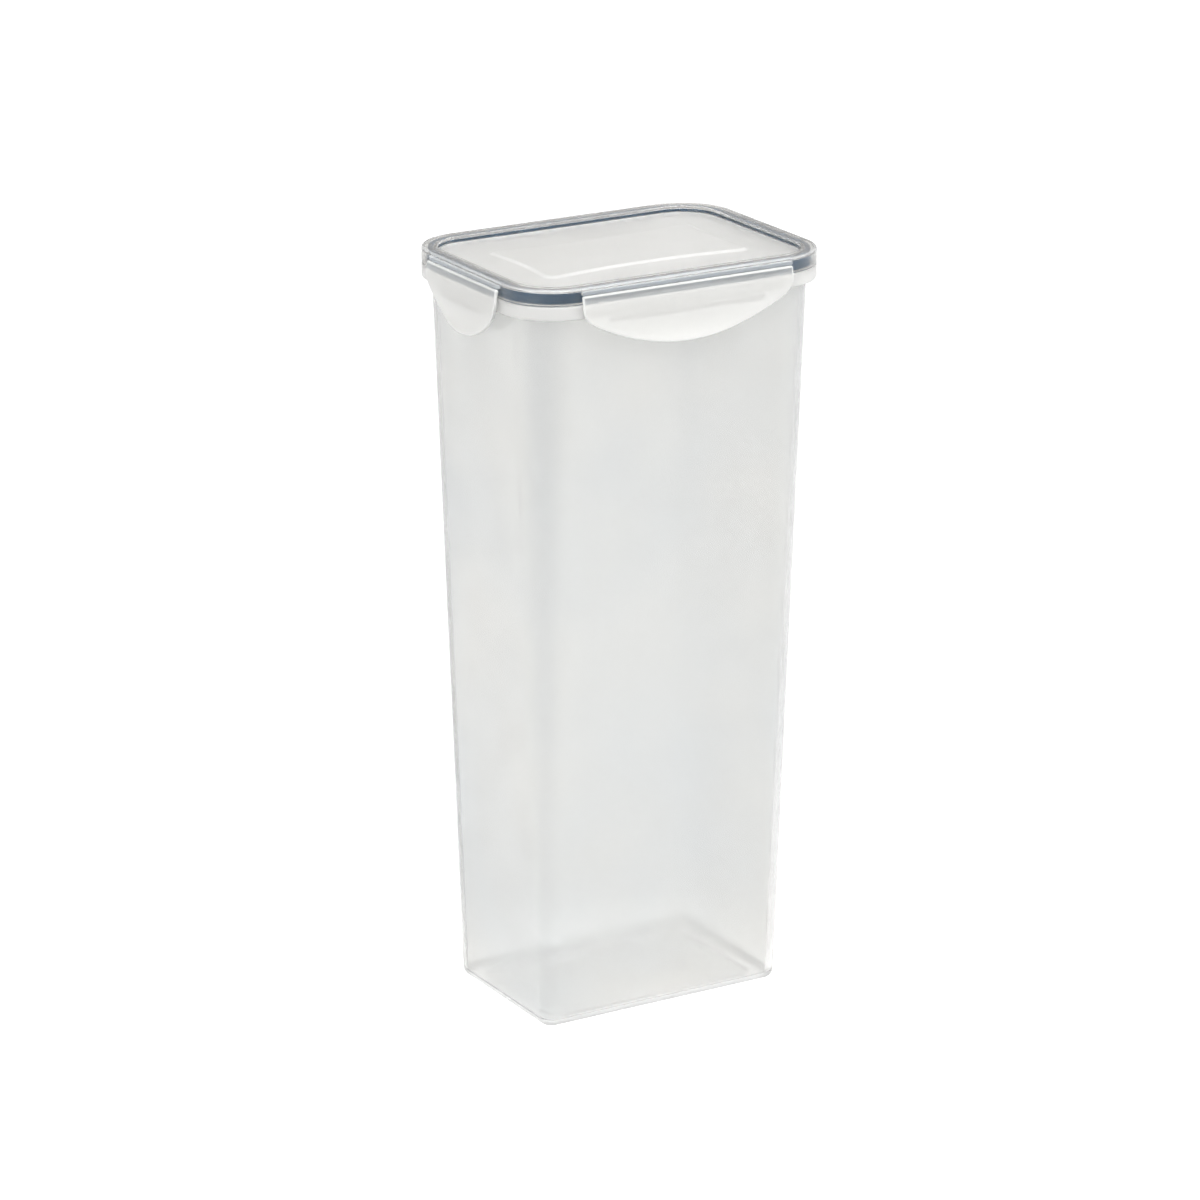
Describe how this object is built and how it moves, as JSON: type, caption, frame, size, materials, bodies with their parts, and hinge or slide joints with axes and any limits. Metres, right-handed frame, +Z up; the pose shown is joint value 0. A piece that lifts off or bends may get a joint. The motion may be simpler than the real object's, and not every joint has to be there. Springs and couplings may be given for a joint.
{
  "type": "food storage box",
  "caption": "Tall tapered translucent storage box with a sealed clip lid whose side flaps swing on living hinges and snap under the box's collar.",
  "frame": {"origin": "centre of the foot, on the surface that the box stands on", "axes": "+Z up, +X along the long side, -Y towards the front"},
  "size_m": [0.1308, 0.0978, 0.28],
  "materials": {
    "box_plastic": "translucent natural polypropylene, satin",
    "lid_plastic": "translucent natural polypropylene, satin",
    "seal_silicone": "blue-grey silicone, matte"
  },
  "bodies": {
    "box": {"box_body": "box_plastic"},
    "lid": {"lid": "lid_plastic", "lid_seal": "seal_silicone", "front_hinge_film": "lid_plastic", "back_hinge_film": "lid_plastic", "left_hinge_film": "lid_plastic", "right_hinge_film": "lid_plastic"},
    "front_flap": {"front_flap": "lid_plastic"},
    "back_flap": {"back_flap": "lid_plastic"},
    "left_flap": {"left_flap": "lid_plastic"},
    "right_flap": {"right_flap": "lid_plastic"}
  },
  "joints": [
    {"name": "lid_lift", "type": "slide", "parent": "box", "child": "lid", "axis": [0, 0, 1], "range_m": [0, 0.12]},
    {"name": "front_flap_swing", "type": "hinge", "parent": "lid", "child": "front_flap", "pos_m": [0, -0.0475, 0.2767], "axis": [-1, 0, 0], "range_deg": [0, 120]},
    {"name": "back_flap_swing", "type": "hinge", "parent": "lid", "child": "back_flap", "pos_m": [0, 0.0475, 0.2767], "axis": [1, 0, 0], "range_deg": [0, 120]},
    {"name": "left_flap_swing", "type": "hinge", "parent": "lid", "child": "left_flap", "pos_m": [-0.064, 0, 0.2767], "axis": [0, 1, 0], "range_deg": [0, 120]},
    {"name": "right_flap_swing", "type": "hinge", "parent": "lid", "child": "right_flap", "pos_m": [0.064, 0, 0.2767], "axis": [0, -1, 0], "range_deg": [0, 120]}
  ]
}
